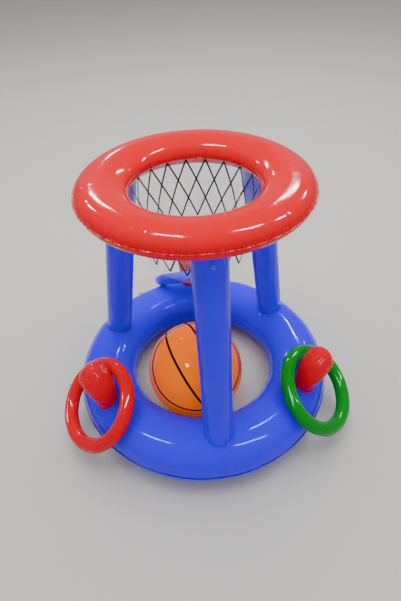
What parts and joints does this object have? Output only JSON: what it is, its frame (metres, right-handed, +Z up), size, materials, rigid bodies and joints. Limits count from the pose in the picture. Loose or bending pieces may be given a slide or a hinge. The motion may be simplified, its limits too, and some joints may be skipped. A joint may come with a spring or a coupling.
{
  "type": "floating basketball hoop",
  "caption": "Inflatable pool basketball hoop: floating base ring, leaning legs, target ring with a printed clear net, ring-toss pegs, toss rings and a ball.",
  "frame": {"origin": "on the floor, under the middle of the whole part's bounding box", "axes": "+Z up; -Y towards the front leg's side, where the picture was taken from; +X to the viewer's right"},
  "size_m": [0.672, 0.6719, 0.5875],
  "materials": {
    "blue_pvc": "glossy soft PVC film, royal blue",
    "red_pvc": "glossy soft PVC film, warm red",
    "green_pvc": "glossy soft PVC film, mid green",
    "orange_pvc": "glossy soft PVC film, orange with thin dark ball seams",
    "clear_pvc": "clear soft PVC, slightly hazy",
    "black_ink": "printed black ink"
  },
  "bodies": {
    "hoop_stand": {"base_ring": "blue_pvc", "base_outer_seam": "blue_pvc", "base_inner_seam": "blue_pvc", "base_valve": "clear_pvc", "hoop_ring": "red_pvc", "hoop_outer_seam": "red_pvc", "hoop_inner_seam": "red_pvc", "hoop_valve": "clear_pvc", "net_film": "clear_pvc", "net_print": "black_ink", "leg_front": "blue_pvc", "leg_front_foot_weld": "blue_pvc", "leg_front_head_weld": "red_pvc", "leg_front_valve": "clear_pvc", "leg_right": "blue_pvc", "leg_right_foot_weld": "blue_pvc", "leg_right_head_weld": "red_pvc", "leg_right_valve": "clear_pvc", "leg_left": "blue_pvc", "leg_left_foot_weld": "blue_pvc", "leg_left_head_weld": "red_pvc", "leg_left_valve": "clear_pvc", "peg_left": "red_pvc", "peg_left_foot_weld": "red_pvc", "peg_rear": "red_pvc", "peg_rear_foot_weld": "red_pvc", "peg_right": "red_pvc", "peg_right_foot_weld": "red_pvc"},
    "ball": {"ball": "orange_pvc", "ball_valve": "clear_pvc"},
    "toss_ring_blue": {"toss_ring_blue": "blue_pvc", "toss_ring_blue_valve": "clear_pvc"},
    "toss_ring_green": {"toss_ring_green": "green_pvc", "toss_ring_green_valve": "clear_pvc"},
    "toss_ring_red": {"toss_ring_red": "red_pvc", "toss_ring_red_valve": "clear_pvc"},
    "base_plug": {"base_valve_plug": "clear_pvc"},
    "hoop_plug": {"hoop_valve_plug": "clear_pvc"},
    "leg_front_plug": {"leg_front_valve_plug": "clear_pvc"},
    "leg_right_plug": {"leg_right_valve_plug": "clear_pvc"},
    "leg_left_plug": {"leg_left_valve_plug": "clear_pvc"},
    "ball_plug": {"ball_valve_plug": "clear_pvc"},
    "toss_ring_blue_plug": {"toss_ring_blue_valve_plug": "clear_pvc"},
    "toss_ring_green_plug": {"toss_ring_green_valve_plug": "clear_pvc"},
    "toss_ring_red_plug": {"toss_ring_red_valve_plug": "clear_pvc"}
  },
  "joints": [
    {"name": "ball_lift", "type": "slide", "parent": "hoop_stand", "child": "ball", "axis": [0, 0, 1], "range_m": [0, 0.15]},
    {"name": "toss_ring_blue_lift", "type": "slide", "parent": "hoop_stand", "child": "toss_ring_blue", "axis": [0.0109, -0.1127, 0.9936], "range_m": [0, 0.2]},
    {"name": "toss_ring_green_lift", "type": "slide", "parent": "hoop_stand", "child": "toss_ring_green", "axis": [-0.062, 0.032, 0.9976], "range_m": [0, 0.2]},
    {"name": "toss_ring_red_lift", "type": "slide", "parent": "hoop_stand", "child": "toss_ring_red", "axis": [0.1251, 0.0788, 0.989], "range_m": [0, 0.2]},
    {"name": "base_plug_hinge", "type": "hinge", "parent": "hoop_stand", "child": "base_plug", "pos_m": [-0.189, 0.2058, 0.0961], "axis": [0.3612, -0.4971, 0.7889], "range_deg": [0, 120]},
    {"name": "hoop_plug_hinge", "type": "hinge", "parent": "hoop_stand", "child": "hoop_plug", "pos_m": [-0.0396, 0.1688, 0.5399], "axis": [-0.0974, 0.8547, 0.5098], "range_deg": [0, 120]},
    {"name": "leg_front_plug_hinge", "type": "hinge", "parent": "hoop_stand", "child": "leg_front_plug", "pos_m": [0.0112, -0.2191, 0.5297], "axis": [-0.9936, -0.1132, 0], "range_deg": [0, 120]},
    {"name": "leg_right_plug_hinge", "type": "hinge", "parent": "hoop_stand", "child": "leg_right_plug", "pos_m": [0.1436, 0.0853, 0.5297], "axis": [0.5948, -0.8039, 0], "range_deg": [0, 120]},
    {"name": "leg_left_plug_hinge", "type": "hinge", "parent": "hoop_stand", "child": "leg_left_plug", "pos_m": [-0.1863, 0.0477, 0.5297], "axis": [0.3987, 0.9171, 0], "range_deg": [0, 120]},
    {"name": "ball_plug_hinge", "type": "hinge", "parent": "ball", "child": "ball_plug", "pos_m": [0.0024, -0.022, 0.1992], "axis": [-0.383, -0.6634, 0.6428], "range_deg": [0, 120]},
    {"name": "toss_ring_blue_plug_hinge", "type": "hinge", "parent": "toss_ring_blue", "child": "toss_ring_blue_plug", "pos_m": [0.0753, 0.2606, 0.1257], "axis": [-0.0147, -0.7567, 0.6536], "range_deg": [0, 120]},
    {"name": "toss_ring_green_plug_hinge", "type": "hinge", "parent": "toss_ring_green", "child": "toss_ring_green_plug", "pos_m": [0.3336, -0.1841, 0.0439], "axis": [-0.3335, -0.9361, -0.1116], "range_deg": [0, 120]},
    {"name": "toss_ring_red_plug_hinge", "type": "hinge", "parent": "toss_ring_red", "child": "toss_ring_red_plug", "pos_m": [-0.3333, -0.1058, 0.0957], "axis": [0.4179, 0.6673, 0.6165], "range_deg": [0, 120]}
  ]
}
